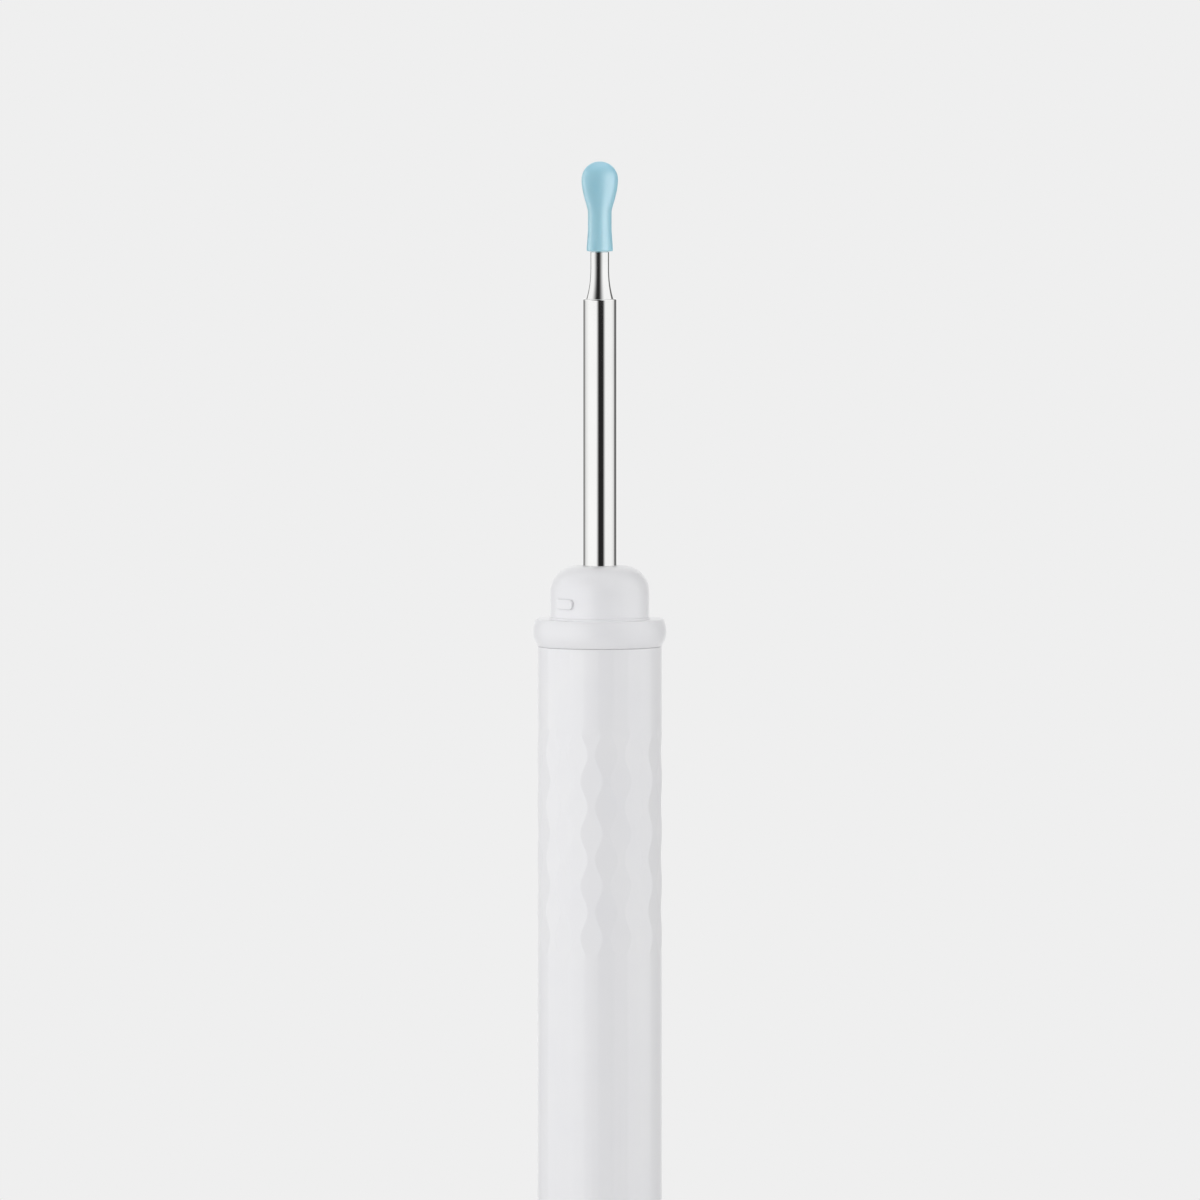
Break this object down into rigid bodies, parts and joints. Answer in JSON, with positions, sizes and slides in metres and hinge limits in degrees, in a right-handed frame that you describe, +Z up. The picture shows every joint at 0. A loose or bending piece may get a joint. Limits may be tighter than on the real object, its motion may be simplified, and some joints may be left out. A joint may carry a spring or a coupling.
{
  "type": "visual ear cleaner",
  "caption": "Slim upright ear-cleaning wand with a camera tube: round handle with a wavy faceted grip band, collared head, steel tube and neck, and a soft spoon-shaped tip.",
  "frame": {"origin": "centre of the flat tail face, on the handle's axis", "axes": "+Z up along the handle's axis to the tip; -Y is the front with the power button; +X is to the right seen from the front"},
  "size_m": [0.0138, 0.0138, 0.1403],
  "materials": {
    "white_shell": "satin moulded white ABS",
    "blue_silicone": "soft satin pale blue silicone",
    "polished_steel": "mirror-polished stainless steel",
    "plated_steel": "plated sheet steel",
    "brass": "turned brass",
    "black_rubber": "matt black rubber",
    "black_nylon": "moulded black nylon",
    "clear_window": "clear coated glass",
    "clear_acrylic": "milky clear acrylic",
    "green_board": "green solder mask",
    "white_ceramic": "white ceramic package",
    "chip_epoxy": "black moulded epoxy",
    "amber_flex": "amber polyimide ribbon",
    "cell_wrap": "aluminium can in blue shrink wrap",
    "red_lead": "red silicone wire",
    "grey_foam": "grey closed-cell foam"
  },
  "bodies": {
    "handle": {"handle_sleeve": "white_shell", "tail_cap": "white_shell", "tail_seal": "black_rubber", "usb_shell": "plated_steel", "usb_tongue": "black_nylon", "head_collar": "white_shell", "head_dome": "white_shell", "collar_seal": "black_rubber", "tube_ferrule": "brass", "lens_tube": "polished_steel", "lens_neck": "polished_steel", "front_window": "clear_window", "camera_barrel": "black_nylon", "camera_lens": "clear_window", "light_guide": "clear_acrylic", "led_ring_board": "green_board", "lighting_led_1": "white_ceramic", "lighting_led_2": "white_ceramic", "lighting_led_3": "white_ceramic", "lighting_led_4": "white_ceramic", "camera_sensor": "chip_epoxy", "sensor_board": "green_board", "camera_flex": "amber_flex", "inner_chassis": "black_nylon", "main_board": "green_board", "chassis_screw_1": "plated_steel", "chassis_screw_2": "plated_steel", "charger_chip": "chip_epoxy", "motion_sensor_chip": "chip_epoxy", "processor_chip": "chip_epoxy", "wireless_shield": "plated_steel", "chip_antenna": "white_ceramic", "flex_connector": "black_nylon", "status_led": "white_ceramic", "status_light_pipe": "clear_acrylic", "power_switch": "black_nylon", "button_gasket": "black_rubber", "battery_cell": "cell_wrap", "battery_protection_board": "green_board", "battery_lead_red": "red_lead", "battery_lead_black": "black_rubber", "battery_foam_pad": "grey_foam"},
    "tip": {"ear_scoop_tip": "blue_silicone"},
    "button": {"power_button": "white_shell", "switch_plunger": "brass"}
  },
  "joints": [
    {"name": "tip_pull", "type": "slide", "parent": "handle", "child": "tip", "axis": [0, 0, 1], "range_m": [0, 0.012]},
    {"name": "button_press", "type": "slide", "parent": "handle", "child": "button", "axis": [0, 1, 0], "range_m": [0, 0.0003], "stiffness_N_per_m": 600, "springref_m": -0.0008}
  ]
}
